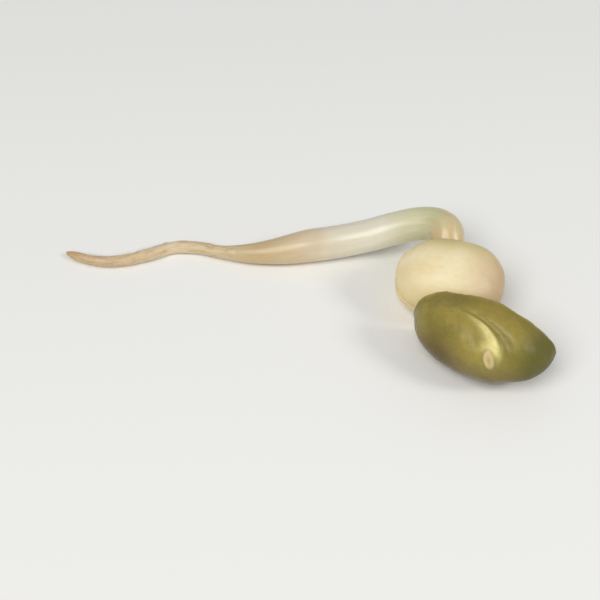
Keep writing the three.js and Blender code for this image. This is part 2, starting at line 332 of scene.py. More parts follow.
# %% [markdown]
# ## The seed coat
#
# The coat is a thin, tough skin, about a fifth of a millimetre thick. It has split at the back
# and slipped forwards off the bean like a hood, so it stands a little loose and puffs out at its
# near side. A curved crease runs down its front with a full lobe beside it, and its outer end is
# torn. It is drawn as rings: each ring is a share of the way from the closed front to the ragged
# mouth, and where the bean is in its way the skin stretches over it.
#
# A side is written as a direction round the mouth, from its top, and a half width, both in
# degrees. Layers of noise are written as how fast the finer ones weaken, how much finer each one
# is than the last, and how many there are.

# %% How far round the coat reaches, and its torn mouth
COAT_HALF = Vector((4.4, 3.6, 2.6))
TOP_REACH = 91
UNDER_REACH = 106
LEFT_EXTRA = 3
MOUTH_WAVES = ((3, 2.6, 0.8), (7, 0.6, 2.1))
MOUTH_ONSET = 2.5
TEAR_SIDE = (118, 18)
TEAR_DEPTH = 29
CORNER_SIDE = (88, 14)
CORNER_CUT = 3.5
BROW_SIDE = (45, 30)
BROW_CUT = 4
FRAY_DEPTH = 0.4
FRAY_FINENESS = 6
FRAY_LAYERS = (0.6, 2.1, 3)
FRAY_ONSET = 20


def near_side(direction, side):
    middle, half_width = side
    apart = (middle - direction + 180) % 360 - 180
    return bell(apart, half_width)


def coat_reach(share, direction):
    turn = math.radians(direction)
    ragged = sum(depth * math.sin(count * turn + phase) for count, depth, phase in MOUTH_WAVES)
    mouth = blend(UNDER_REACH, TOP_REACH, (1 + math.cos(turn)) / 2)
    slant = LEFT_EXTRA * math.sin(turn)
    round_place = Vector((math.cos(turn), math.sin(turn), 0.0)) * FRAY_FINENESS
    fray = FRAY_DEPTH * noise.fractal(round_place, *FRAY_LAYERS) * share ** FRAY_ONSET
    tear = TEAR_DEPTH * near_side(direction, TEAR_SIDE)
    corner = CORNER_CUT * near_side(direction, CORNER_SIDE)
    corner += BROW_CUT * near_side(direction, BROW_SIDE)
    cut_back = ragged - slant - tear - corner
    return share * mouth + share ** MOUTH_ONSET * cut_back + fray


print("top of the mouth:", round(coat_reach(1.0, 0.0)), "degrees round from the front")
print("foot of the tear:", round(coat_reach(1.0, TEAR_SIDE[0])), "degrees round")

# %% The curl of the tear and the puffed cheek
TEAR_CURL = 0.03
CURL_SIDE = (118, 22)
CURL_ZONE = (0.55, 1)
CHEEK_SIDE = (248, 52)
CHEEK_HEIGHT = 0.5
CHEEK_RISE = (0.1, 0.65)
CHEEK_FALL = (0.75, 1)
CHEEK_LOSS = 0.5


def tear_curl(share, direction):
    return TEAR_CURL * near_side(direction, CURL_SIDE) * soft_step(share, *CURL_ZONE)


def coat_cheek(share, direction):
    kept = 1 - CHEEK_LOSS * soft_step(share, *CHEEK_FALL)
    return CHEEK_HEIGHT * near_side(direction, CHEEK_SIDE) * soft_step(share, *CHEEK_RISE) * kept


print("cheek:", round(coat_cheek(0.7, CHEEK_SIDE[0]), 2), "mm proud at most")

# %% The crease and the lobe beside it
FOLD_LEAN = 0.5
FOLD_HEIGHTS = (-1.7, 0.2)
FOLD_END = (0.6, 1.05)
CREASE_LINE = 0.36
CREASE_BEND = 0.95
CREASE_MIDDLE = -2.6
CREASE_LIMIT = -1.6
CREASE_DEPTH = 0.36
CREASE_LEFT_WIDTH = 0.34
CREASE_RIGHT_WIDTH = 0.95
CREASE_END = (-1.5, -0.6)
LOBE_LINE = -0.8
LOBE_WIDTH = 0.8
LOBE_HEIGHT = 0.3


def fold_across(point):
    bend = CREASE_LINE - CREASE_BEND * (point.y - CREASE_MIDDLE) ** 2
    return point.x + FOLD_LEAN * point.y - max(bend, CREASE_LIMIT)


def coat_fold(point, share):
    fade = soft_step(point.z, *FOLD_HEIGHTS) * (1 - soft_step(share, *FOLD_END))
    across = fold_across(point)
    crease = CREASE_DEPTH * bell(across, CREASE_LEFT_WIDTH if across < 0 else CREASE_RIGHT_WIDTH)
    crease *= 1 - soft_step(point.y, *CREASE_END)
    return fade * (LOBE_HEIGHT * bell(across - LOBE_LINE, LOBE_WIDTH) - crease)


print("crease:", CREASE_DEPTH, "mm deep, its lobe:", LOBE_HEIGHT, "mm high")

# %% Stretch the skin over the bean
COAT_WALL = 0.66
COAT_CLEARANCE = 0.16
COAT_CLING = 0.1


def stretch_over_bean(point, offset):
    inside = coat_to_bean @ point
    size = Vector((BEAN_LENGTH, BEAN_WIDTH, BEAN_THICKNESS)) / 2
    scaled = Vector([abs(part) / (half + offset) for part, half in zip(inside, size)])
    push = 1 / squared_length(scaled, BEAN_SQUARENESS)
    softened = (1 + push + math.hypot(push - 1, COAT_CLING)) / 2
    return bean_to_coat @ (inside * softened)


print("the skin clears the bean by at least", COAT_CLEARANCE, "mm")

# %% [markdown]
# The solid's wall is thicker than the real skin, so the skin uses only a slice of it. Over the
# closed front the slice lies at the outside; towards the mouth it sinks in and hugs the bean.

# %% One point of the skin
SKIN_THICKNESS = 0.2
MOUTH_ZONE = (0.6, 1.0)
MOUTH_SINK = 0.3
SINK_MEAN = 0.75
SINK_SWING = 0.25


def coat_point(share, direction, inner):
    reach = math.radians(coat_reach(share, direction))
    turn = math.radians(direction)
    point = Vector((
        COAT_HALF.x * math.sin(reach) * math.sin(turn),
        -COAT_HALF.y * math.cos(reach),
        COAT_HALF.z * math.sin(reach) * math.cos(turn),
    ))
    normal = Vector([part / half ** 2 for part, half in zip(point, COAT_HALF)]).normalized()
    curl = tear_curl(share, direction)
    over_top = SINK_MEAN + SINK_SWING * math.cos(turn)
    sink = MOUTH_SINK * soft_step(share, *MOUTH_ZONE) * over_top + SKIN_THICKNESS * inner
    rise = coat_fold(point, share) * math.sin(reach) + coat_cheek(share, direction) + curl - sink
    offset = COAT_CLEARANCE + COAT_WALL - sink + curl
    return stretch_over_bean(point + normal * rise, offset)


print("closed front:", [round(part, 2) for part in coat_point(0.0, 0.0, 0.0)])

# %% Rings of the skin: up the outside, over the rim, down the inside
COAT_RINGS = 110
COAT_SPOKES = 300
RIM_RINGS = 3
RIM_OVERHANG = 0.012


def coat_rows():
    rows = [(ring / COAT_RINGS, 0.0) for ring in range(1, COAT_RINGS + 1)]
    for ring in range(1, RIM_RINGS):
        bend = math.pi * ring / RIM_RINGS
        rows.append((1.0 + RIM_OVERHANG * math.sin(bend), (1 - math.cos(bend)) / 2))
    rows += [(ring / COAT_RINGS, 1.0) for ring in range(COAT_RINGS, 0, -1)]
    return rows


def ring_faces(row_count, spokes, first_pole, last_pole):
    faces = []
    for spoke in range(spokes):
        beside = (spoke + 1) % spokes
        for row in range(row_count - 1):
            here, above = row * spokes, (row + 1) * spokes
            faces.append((here + spoke, here + beside, above + beside, above + spoke))
        last = (row_count - 1) * spokes
        faces.append((first_pole, beside, spoke))
        faces.append((last_pole, last + spoke, last + beside))
    return faces


coat_ring_rows = coat_rows()
print("rings of the coat:", len(coat_ring_rows))

# %% [markdown]
# The hilum is the pale oval scar where the bean hung in its pod; here it lies at the foot of the
# crease, with a raised border and a fine slit. The skin also has slow dents, puckers that run in
# from the mouth, and fine wrinkles where it has been squeezed. Relief is baked into the mesh, so
# it also shows in the outline.

# %% The hilum
HILUM_PLACE = Vector((0.95, -3.25, 1.35))
HILUM_WAY = Vector((0.34, -0.13, -0.93))
HILUM_LENGTH = 0.74
HILUM_WIDTH = 0.3
HILUM_BORDER = (0.7, 1.2)
SLIT_WIDTH = 0.09
SLIT_SHADE = 0.6
EDGE_REACH = 1.12
EDGE_WIDTH = 0.2
RIDGE_REACH = 0.8
RIDGE_WIDTH = 0.25
RIDGE_HEIGHT = 0.05
HOLLOW_SHARE = 0.5
HOLLOW_WIDTH = 0.4


def hilum_place(point):
    away = point - HILUM_PLACE
    lengthwise = away.dot(HILUM_WAY)
    sideways = (away - HILUM_WAY * lengthwise).length
    return math.hypot(lengthwise / HILUM_LENGTH, sideways / HILUM_WIDTH), sideways


def hilum_at(point):
    reach, sideways = hilum_place(point)
    slit = SLIT_SHADE * bell(sideways, SLIT_WIDTH)
    return (1 - soft_step(reach, *HILUM_BORDER)) * (1 - slit)


def hilum_edge(point):
    reach, _ = hilum_place(point)
    return bell(reach - EDGE_REACH, EDGE_WIDTH)


def hilum_relief(point):
    reach, _ = hilum_place(point)
    hollow = HOLLOW_SHARE * bell(reach, HOLLOW_WIDTH)
    return RIDGE_HEIGHT * (bell(reach - RIDGE_REACH, RIDGE_WIDTH) - hollow)


print("hilum:", 2 * HILUM_LENGTH, "by", 2 * HILUM_WIDTH, "mm")

# %% The relief of the coat's skin
COAT_DENT = 0.07
COAT_DENT_SIZE = 1.5
COAT_DENT_SHIFT = Vector((4.0, 0.0, 9.0))
PUCKER_HEIGHT = 0.015
PUCKER_FINENESS = 9
PUCKER_LENGTHWISE = 1.5
WRINKLE_HEIGHT = 0.016
WRINKLE_ACROSS = 2.6
WRINKLE_SLANT = 1.3
WRINKLE_LENGTHWISE = 0.5
WRINKLE_UPWARDS = 0.6
WRINKLE_LAYERS = (0.9, 2.2, 3)


def coat_relief(share, direction, point):
    turn = math.radians(direction)
    dent = COAT_DENT * noise.noise(point / COAT_DENT_SIZE + COAT_DENT_SHIFT)
    round_place = Vector((math.cos(turn) * PUCKER_FINENESS, math.sin(turn) * PUCKER_FINENESS,
                          share * PUCKER_LENGTHWISE))
    pucker = PUCKER_HEIGHT * noise.noise(round_place) * soft_step(share, *MOUTH_ZONE)
    across = point.x * WRINKLE_ACROSS + point.y * WRINKLE_SLANT
    along_fold = Vector((across, point.y * WRINKLE_LENGTHWISE, point.z * WRINKLE_UPWARDS))
    wrinkle = WRINKLE_HEIGHT * noise.fractal(along_fold, *WRINKLE_LAYERS)
    return dent + pucker + wrinkle


print("dents:", COAT_DENT, "mm, wrinkles:", WRINKLE_HEIGHT, "mm")

# %% [markdown]
# The coat's colour changes more than any other. Beside the crease the skin is stretched pale and
# carries a painted highlight. Painted shade darkens it low at the front, in the crease, towards
# its bottom and along the top of the mouth, and its rim and inside are like straw.
# Again each zone is a value on the points, and the finish reads it further down.

# %% Where the skin beside the crease is stretched pale, with a painted highlight
PALE_START = (-3.3, -2.7)
PALE_STOP = (-2.0, -1.2)
PALE_LINE = 0.56
PALE_LEFT_WIDTH = 0.66
PALE_RIGHT_WIDTH = 0.4
PALE_WIDENING = 0.5
PALE_WIDENING_ZONE = (2.4, 3.2)
PALE_HEIGHTS = (0.0, 0.8)


def pale_skin_and_painted_highlight(point):
    along_crease = soft_step(point.y, *PALE_START) * (1 - soft_step(point.y, *PALE_STOP))
    from_line = fold_across(point) + PALE_LINE
    widening = 1 + PALE_WIDENING * soft_step(-point.y, *PALE_WIDENING_ZONE)
    width = PALE_LEFT_WIDTH * widening if from_line < 0 else PALE_RIGHT_WIDTH
    return along_crease * bell(from_line, width) * soft_step(point.z, *PALE_HEIGHTS)


print("pale streak:", PALE_LEFT_WIDTH + PALE_RIGHT_WIDTH, "mm wide")

# %% Colour zones of the coat
RIM_ZONE = (0.97, 1.0)
INSIDE_ZONE = (0.3, 0.9)
# Painted shade in the crease, following how deep the fold sinks.
CREASE_SHADE_ZONE = (0.02, 0.3)
# Painted shade along the top of the mouth, where the coat tucks under the dome.
SHOULDER_SHADE_SIDE = (-10, 80)
# A patch of painted shade, dark brown, low at the front left of the coat.
LOW_SHADE_PLACE = Vector((-2.1, -3.0, -0.2))
LOW_SHADE_WIDTH = 1.65


def coat_zones(keys, outer):
    return {
        "rim": [soft_step(share, *RIM_ZONE) for share, _, _ in keys],
        "inside": [soft_step(inner, *INSIDE_ZONE) for _, inner, _ in keys],
        "hilum": [hilum_at(point) for point in outer],
        "hilum_edge": [hilum_edge(point) for point in outer],
        "painted_shoulder_shade": [soft_step(share, *MOUTH_ZONE) * near_side(direction, SHOULDER_SHADE_SIDE)
                     for share, _, direction in keys],
        "stretched_pale_and_highlight": [pale_skin_and_painted_highlight(point) for point in outer],
        "painted_low_shade": [bell((point - LOW_SHADE_PLACE).length, LOW_SHADE_WIDTH) for point in outer],
        "painted_crease_shade": [soft_step(-coat_fold(point, share), *CREASE_SHADE_ZONE)
                   for (share, _, _), point in zip(keys, outer)],
    }


print("bruise:", 2 * LOW_SHADE_WIDTH, "mm across")

# %% Build the seed coat
def coat_keys():
    directions = [360 * spoke / COAT_SPOKES for spoke in range(COAT_SPOKES)]
    keys = [(share, inner, direction) for share, inner in coat_ring_rows for direction in directions]
    return keys + [(0.0, 0.0, 0.0), (0.0, 1.0, 0.0)]


def coat_skin_points(keys, outer, local, faces):
    facing = raise_skin(local, faces, lambda index, point: 1.0)
    skin = []
    for index, (share, inner, direction) in enumerate(keys):
        outwards = (facing[index] - local[index]) * (-1 if inner > 0.5 else 1)
        lift = coat_relief(min(share, 1.0), direction, outer[index])
        scar = hilum_relief(outer[index]) if inner < 0.5 else 0.0
        skin.append(local[index] + outwards * (lift + scar))
    return skin


def make_seed_coat():
    keys = coat_keys()
    local = [coat_point(share, direction, inner) for share, inner, direction in keys]
    outer = [coat_point(share, direction, 0.0) for share, _, direction in keys]
    pole = len(local) - 2
    faces = ring_faces(len(coat_ring_rows), COAT_SPOKES, pole, pole + 1)
    skin = coat_skin_points(keys, outer, local, faces)
    placed = press_on_table([coat_frame @ point for point in skin])
    return make_piece("coat_skin", placed, faces, coat_zones(keys, outer), skin,
                      "seed_coat")


seed_coat = make_seed_coat()

# %% [markdown]
# ## The stem and the root
#
# The stem, which is called the hypocotyl, and the root are one organ. It leaves the parting at
# the back of the bean, hooks over, comes down to the table and narrows into the root. A path
# through guide points gives its centre, and rings of points are set square to that path. A
# bevelled curve would be quicker, but its thickness and its skin couldn't be shaped as freely.

# %% A smooth path through guide points
PATH_EVENNESS = 0.25
LEAST_GAP = 1e-6


def path_piece(before, start, end, after, share):
    gaps = [max((b - a).length_squared ** PATH_EVENNESS, LEAST_GAP)
            for a, b in ((before, start), (start, end), (end, after))]
    slope_in = ((start - before) / gaps[0] - (end - before) / (gaps[0] + gaps[1])
                + (end - start) / gaps[1]) * gaps[1]
    slope_out = ((end - start) / gaps[1] - (after - start) / (gaps[1] + gaps[2])
                 + (after - end) / gaps[2]) * gaps[1]
    square, cube = share * share, share ** 3
    return (start * (2 * cube - 3 * square + 1) + slope_in * (cube - 2 * square + share)
            + end * (3 * square - 2 * cube) + slope_out * (cube - square))


def smooth_path(guides, steps_each):
    ends = [guides[0] * 2 - guides[1]] + list(guides) + [guides[-1] * 2 - guides[-2]]
    points = []
    for index in range(len(guides) - 1):
        four = ends[index:index + 4]
        points += [path_piece(*four, step / steps_each) for step in range(steps_each)]
    return points + [guides[-1].copy()]


def evenly_spaced(points, count):
    distances = [0.0]
    for before, after in zip(points, points[1:]):
        distances.append(distances[-1] + (after - before).length)
    spaced, index = [], 0
    for step in range(count + 1):
        target = distances[-1] * step / count
        while index < len(points) - 2 and distances[index + 1] < target:
            index += 1
        span = distances[index + 1] - distances[index]
        spaced.append(points[index].lerp(points[index + 1], (target - distances[index]) / span))
    return spaced, distances[-1]


# %% The thickness of the stem along its length
STEM_RADIUS = 1.1
NECK_RADIUS = 0.9
NECK_LENGTH = 2.4
NECK_FLATNESS = 0.56
TAPER_ZONE = (11.5, 18.5)
MID_ROOT_RADIUS = 0.42
ROOT_RADIUS = 0.31
THINNING_ZONE = (22, 29)
COLLAR_PLACE = 16.5
COLLAR_HEIGHT = 0.04
COLLAR_WIDTH = 1.4


def stem_radius(along):
    stem = blend(NECK_RADIUS, STEM_RADIUS, soft_step(along, 0, NECK_LENGTH))
    root = blend(MID_ROOT_RADIUS, ROOT_RADIUS, soft_step(along, *THINNING_ZONE))
    collar = COLLAR_HEIGHT * bell(along - COLLAR_PLACE, COLLAR_WIDTH)
    return blend(stem, root, soft_step(along, *TAPER_ZONE)) + collar


for place in (0, 6, 12, 18, 24):
    print(place, "mm along:", round(2 * stem_radius(place), 2), "mm thick")

# %% The centre line, lifted so that the stem lies on the table
NECK_DEPTH = 1.05
NECK_RISE = 0.7
STEM_PRESS = 0.04
LIFT_SOFTNESS = 0.12
GUIDE_STEPS = 40
COARSE_STEPS = 60
FINE_STEPS = 20
STEM_GUIDES = (
    (-0.12, 3.72, 3.28), (-0.75, 4.4, 3.05), (-1.9, 4.8, 2.65), (-3.4, 4.95, 2.05),
    (-5.1, 4.85, 1.5), (-6.9, 4.65, 1.15), (-8.9, 4.35, 0.95), (-11.0, 4.05, 0.8),
    (-13.0, 4.05, 0.6), (-14.8, 4.4, 0.3), (-16.4, 4.85, 0.1), (-18.0, 4.85, 0.0),
    (-19.7, 4.2, 0.0), (-21.6, 3.65, 0.0), (-23.5, 3.8, 0.0), (-25.2, 4.5, 0.0),
)


def stem_path():
    node = bean_frame @ Vector((STEM_PARTING["x"], BEAN_WIDTH / 2, 0))
    exit_way = bean_frame.to_3x3() @ Vector((0, 1, 0))
    guides = [node - exit_way * NECK_DEPTH, node + exit_way * NECK_RISE]
    guides += [SPROUT_SHIFT + Vector(guide) for guide in STEM_GUIDES]
    spaced, length = evenly_spaced(smooth_path(guides, GUIDE_STEPS), COARSE_STEPS)
    for index, point in enumerate(spaced):
        height = stem_radius(index / COARSE_STEPS * length) - STEM_PRESS
        over = (point.z - height) / 2
        point.z = height + over + math.hypot(over, LIFT_SOFTNESS / 2)
    return smooth_path(spaced, FINE_STEPS)


STEM_RINGS = 700
STEM_SIDES = 64
stem_centres, stem_length = evenly_spaced(stem_path(), STEM_RINGS)
print("stem and root:", round(stem_length, 2), "mm long")

# %% [markdown]
# Fine strands run the length of the stem, because its cells are long and stacked in files. Where
# it bends, the inside of the hook is squeezed into small cross wrinkles. The root is rougher and
# a little knobbly, carries small buds of side roots, and ends in a smooth pointed cap.

# %% Small buds on the root
BUD_COUNT = 12
BUD_SEED = 21
BUD_ZONE = (17.0, 25.0)
BUD_HEIGHT = 0.06
BUD_WIDTH = 0.16
BUD_REACH = 3 * BUD_WIDTH

bud_dice = random.Random(BUD_SEED)
root_buds = [(bud_dice.uniform(*BUD_ZONE), bud_dice.uniform(0, 2 * math.pi))
             for _ in range(BUD_COUNT)]


def root_bud_relief(along, turn):
    height = 0.0
    for place, side in root_buds:
        if abs(along - place) < BUD_REACH:
            round_way = math.sin((turn - side) / 2) * 2 * MID_ROOT_RADIUS
            height += BUD_HEIGHT * bell(math.hypot(along - place, round_way), BUD_WIDTH)
    return height


print("root buds:", len(root_buds))

# %% The relief of the stem's skin
STRAND_HEIGHT = 0.012
STRAND_FINENESS = 5
STRAND_LENGTH = 4
SWELL_ROUND = 0.8
STEM_SWELL = 0.035
STEM_SWELL_LENGTH = 2.2
SWELL_SHIFT = (7, 3)
ROUGH_ZONE = (14, 21)
ROOT_SMOOTHING = 0.45
KNOB_HEIGHT = 0.03
KNOB_ROUND = 1.2
KNOB_ALONG = 1.1
KNOB_SHIFT = (2, 9)
KNOB_LAYERS = (0.8, 2.0, 3)
CROSS_WRINKLE = 0.012
WRINKLE_ROUND = 1.5
WRINKLE_ALONG = 4.5
HOOK_MIDDLE = 3.4
HOOK_WIDTH = 2.2
SQUEEZED_ZONE = (0.2, 1.0)


def stem_relief(along, turn, bend_inside):
    around = Vector((math.cos(turn), math.sin(turn), 0.0))
    strand_place = around * STRAND_FINENESS + Vector((0, 0, along / STRAND_LENGTH))
    strand = STRAND_HEIGHT * noise.noise(strand_place)
    swell_place = around * SWELL_ROUND + Vector((*SWELL_SHIFT, along / STEM_SWELL_LENGTH))
    swell = STEM_SWELL * noise.noise(swell_place)
    root = soft_step(along, *ROUGH_ZONE)
    knob_place = around * KNOB_ROUND + Vector((*KNOB_SHIFT, along * KNOB_ALONG))
    knob = KNOB_HEIGHT * root * noise.fractal(knob_place, *KNOB_LAYERS)
    squeeze = bell(along - HOOK_MIDDLE, HOOK_WIDTH) * soft_step(bend_inside, *SQUEEZED_ZONE)
    wrinkle_place = around * WRINKLE_ROUND + Vector((0, 0, along * WRINKLE_ALONG))
    wrinkle = CROSS_WRINKLE * squeeze * noise.noise(wrinkle_place)
    smooth_part = (strand + swell) * blend(1.0, ROOT_SMOOTHING, root)
    return smooth_part + knob + wrinkle + root_bud_relief(along, turn)


print("strands:", STRAND_HEIGHT, "mm, knobs on the root:", KNOB_HEIGHT, "mm")

# %% Rings along the path
TIP_LENGTH = 1.3
TIP_BLUNTNESS = 0.12


def ring_axes(index):
    ahead = stem_centres[min(index + 1, STEM_RINGS)]
    behind = stem_centres[max(index - 1, 0)]
    forwards = (ahead - behind).normalized()
    sideways = forwards.cross(Vector((0, 0, 1))).normalized()
    return sideways, sideways.cross(forwards)


def tip_narrowing(along):
    from_tip = min((stem_length - along) / TIP_LENGTH, 1.0)
    return max(math.sqrt(max(1 - (1 - from_tip) ** 2, 0.0)), TIP_BLUNTNESS)


def stem_point(index, turn, raised=0.0):
    along = stem_length * index / STEM_RINGS
    sideways, upwards = ring_axes(index)
    flatness = blend(NECK_FLATNESS, 1.0, soft_step(along, 0, NECK_LENGTH))
    radius = stem_radius(along) + stem_relief(along, turn, -math.sin(turn)) + raised
    radius *= tip_narrowing(along)
    across, over = radius * math.cos(turn), radius * math.sin(turn) * flatness
    return stem_centres[index] + sideways * across + upwards * over


print("root cap:", TIP_LENGTH, "mm long")

# %% Build the stem and the root
def make_stem():
    turns = [2 * math.pi * side / STEM_SIDES for side in range(STEM_SIDES)]
    keys = [(index, turn) for index in range(STEM_RINGS + 1) for turn in turns]
    points = [stem_point(index, turn) for index, turn in keys]
    points += [stem_centres[0].copy(), stem_centres[-1].copy()]
    pole = len(points) - 2
    faces = ring_faces(STEM_RINGS + 1, STEM_SIDES, pole, pole + 1)
    alongs = [stem_length * index / STEM_RINGS for index, _ in keys] + [0.0, stem_length]
    grain = [Vector((math.cos(turn) * STEM_RADIUS, math.sin(turn) * STEM_RADIUS, along))
             for (_, turn), along in zip(keys, alongs)]
    grain += [Vector((0, 0, 0)), Vector((0, 0, stem_length))]
    placed = press_on_table(points)
    return make_piece("stem_and_root", placed, faces, {"along": alongs}, grain,
                      "hypocotyl_and_root")


stem = make_stem()

# %% [markdown]
# Near its tip the root carries root hairs, each a single long cell that drinks from the soil. They
# are short and very fine on a sprout grown in a tub. Each one is a thin bent spike with three sides,
# rooted just under the skin. A hair system would be quicker, but real mesh survives an export.

# %% One root hair
HAIR_COUNT = 1100
HAIR_SEED = 5
HAIR_ZONE = (22.0, 27.2)
HAIR_LENGTH = 0.24
HAIR_LENGTH_SHARES = (0.45, 1.0)
HAIR_RADIUS = 0.006
HAIR_TAPER = 0.75
HAIR_TURNS = (-0.25, 1.25)
HAIR_ROOTING = 0.02
HAIR_DRIFT = 0.5
HAIR_DROOP = 0.35
HAIR_SIDES = 3
HAIR_STEPS = 3


def hair_spine(dice):
    index = round(dice.uniform(*HAIR_ZONE) / stem_length * STEM_RINGS)
    turn = dice.uniform(*HAIR_TURNS) * math.pi
    base = stem_point(index, turn, raised=-HAIR_ROOTING)
    outwards = (base - stem_centres[index]).normalized()
    drift = Vector([dice.uniform(-HAIR_DRIFT, HAIR_DRIFT) for _ in range(3)])
    length = HAIR_LENGTH * dice.uniform(*HAIR_LENGTH_SHARES)
    spine = []
    for step in range(HAIR_STEPS + 1):
        share = step / HAIR_STEPS
        bend = drift * share * share + Vector((0, 0, -HAIR_DROOP * share * share))
        point = base + (outwards * share + bend) * length
        spine.append(Vector((point.x, point.y, max(point.z, HAIR_RADIUS))))
    return spine


# %% The rings and the faces of one hair
def hair_rings(spine):
    forwards = (spine[-1] - spine[0]).normalized()
    sideways = forwards.orthogonal().normalized()
    upwards = forwards.cross(sideways)
    points = []
    for step, centre in enumerate(spine):
        radius = HAIR_RADIUS * (1 - HAIR_TAPER * step / HAIR_STEPS)
        for side in range(HAIR_SIDES):
            turn = 2 * math.pi * side / HAIR_SIDES
            way = sideways * math.cos(turn) + upwards * math.sin(turn)
            points.append(centre + way * radius)
    return points


def hair_faces(first):
    faces = []
    for step in range(HAIR_STEPS):
        for side in range(HAIR_SIDES):
            here, beside = first + step * HAIR_SIDES, (side + 1) % HAIR_SIDES
            faces.append((here + side, here + beside,
                          here + HAIR_SIDES + beside, here + HAIR_SIDES + side))
    last = first + HAIR_STEPS * HAIR_SIDES
    faces.append(tuple(first + side for side in reversed(range(HAIR_SIDES))))
    faces.append(tuple(last + side for side in range(HAIR_SIDES)))
    return faces


# %% Build the root hairs
def make_root_hairs():
    dice = random.Random(HAIR_SEED)
    points, faces = [], []
    for _ in range(HAIR_COUNT):
        spine = hair_spine(dice)
        faces += hair_faces(len(points))
        points += hair_rings(spine)
    return make_piece("root_hairs", points, faces, {}, points, None)


root_hairs = make_root_hairs()

# %% [markdown]
# ## The first leaves
#
# Between the seed leaves wait the first true leaves, a pair folded face to face. Each is a
# pointed blade with a midrib and side veins. They only peep out of the parting, but a close look
# from above finds them, so the veins are real relief.

# %% Two folded blades
LEAF_CUTS = 26
LEAF_LENGTH = 2.5
LEAF_WIDTH = 1.35
LEAF_THICKNESS = 0.74
LEAF_TAPER = 0.35
LEAF_PLACE = Vector((1.75, 1.65, 0.0))
LEAF_TURN = math.radians(-8)
BLADE_GAP = 0.03
BLADE_EDGE = 0.22
BLADE_DOME = 0.78
BLADE_INSIDE = 0.18

leaf_units, leaf_faces = even_ball(LEAF_CUTS)
leaf_frame = bean_frame @ Matrix.Translation(LEAF_PLACE) @ Matrix.Rotation(LEAF_TURN, 4, "Z")


def leaf_blade_point(unit, side):
    taper = 1 - LEAF_TAPER * soft_step(unit.x, 0, 1)
    x = unit.x * LEAF_LENGTH / 2
    y = unit.y * taper * LEAF_WIDTH / 2
    full = LEAF_THICKNESS / 2 - BLADE_GAP / 2
    outside = full * (BLADE_EDGE + BLADE_DOME * max(unit.z, 0))
    z = BLADE_GAP / 2 + outside + BLADE_INSIDE * full * min(unit.z, 0)
    return Vector((x, y, z * side))


print("each blade:", len(leaf_units), "points")

# %% The veins
MIDRIB_WIDTH = 0.07
VEIN_SPACING = 0.34
VEIN_SLANT = 0.9
VEIN_WIDTH = 0.16
VEIN_START = (0.02, 0.15)
VEIN_STRENGTH = 0.6
VEIN_OUTSIDE = (0.0, 0.3)
VEIN_DEPTH = 0.035


def leaf_vein(point):
    midrib = bell(point.y, MIDRIB_WIDTH)
    side_way = (point.x - abs(point.y) * VEIN_SLANT) / VEIN_SPACING
    from_vein = (side_way + 0.5) % 1 - 0.5
    side_vein = bell(from_vein, VEIN_WIDTH) * soft_step(abs(point.y), *VEIN_START)
    return max(midrib, VEIN_STRENGTH * side_vein)


print("side veins every", VEIN_SPACING, "mm")

# %% Build the first leaves
def make_first_leaves():
    points, faces, grain, veins = [], [], [], []
    for side in (1, -1):
        first = len(points)
        for unit in leaf_units:
            point = leaf_blade_point(unit, side)
            vein = leaf_vein(point) * soft_step(unit.z, *VEIN_OUTSIDE)
            point.z -= side * VEIN_DEPTH * vein
            points.append(leaf_frame @ point)
            grain.append(point)
            veins.append(vein)
        for face in leaf_faces:
            shifted = tuple(first + corner for corner in face)
            faces.append(shifted if side > 0 else tuple(reversed(shifted)))
    return make_piece("folded_leaves", points, faces, {"vein": veins}, grain,
                      "first_leaves")


first_leaves = make_first_leaves()

# %% [markdown]
# ## Materials
#
# A material is a small network: textures and point values are mixed into a colour, a roughness
# and a bump, and these feed one main shader. A picture wrapped round each piece would do too, but
# nodes stay sharp from near by and need no file. Colours are written as on a paint chart and
# turned into the light values that Blender works with.

# %% From a paint chart to light, by the standard curve
TOE, SLOPE, OFFSET, GAMMA = 0.04045, 12.92, 0.055, 2.4


def paint(chart):
    parts = [int(chart[index:index + 2], 16) / 255 for index in (1, 3, 5)]
    light = [part / SLOPE if part <= TOE else ((part + OFFSET) / (1 + OFFSET)) ** GAMMA
             for part in parts]
    return (*light, 1.0)


print("middle grey as light:", round(paint("#808080")[0], 3))

# %% A board: one material, with short calls that place and join its nodes
class Board:
    def __init__(self, name):
        self.material = bpy.data.materials.new(name)
        self.material.use_nodes = True
        self.tree = self.material.node_tree
        self.shader = self.tree.nodes["Principled BSDF"]

    def add(self, kind, **settings):
        node = self.tree.nodes.new(kind)
        for name, setting in settings.items():
            setattr(node, name, setting)
        return node

    def feed(self, socket, source):
        if isinstance(source, bpy.types.NodeSocket):
            self.tree.links.new(source, socket)
        else:
            socket.default_value = source

    def value(self, name, output="Fac"):
        return self.add("ShaderNodeAttribute", attribute_name=name).outputs[output]

    def vectors(self, operation, place, by):
        node = self.add("ShaderNodeVectorMath", operation=operation)
        self.feed(node.inputs[0], place)
        node.inputs[1].default_value = by
        return node.outputs[0]

    def spread(self, source, low=0.3, high=0.7, to_low=0.0, to_high=1.0):
        node = self.add("ShaderNodeMapRange", interpolation_type="SMOOTHSTEP")
        self.feed(node.inputs["Value"], source)
        for name, number in (("From Min", low), ("From Max", high),
                             ("To Min", to_low), ("To Max", to_high)):
            node.inputs[name].default_value = number
        return node.outputs["Result"]

    def maths(self, operation, first, second):
        node = self.add("ShaderNodeMath", operation=operation)
        self.feed(node.inputs[0], first)
        self.feed(node.inputs[1], second)
        return node.outputs[0]

    def set(self, **constants):
        for name, constant in constants.items():
            self.shader.inputs[name.replace("_", " ")].default_value = constant

    def dress(self, piece):
        piece.data.materials.clear()
        piece.data.materials.append(self.material)
        print(piece.name, "wears", self.material.name)


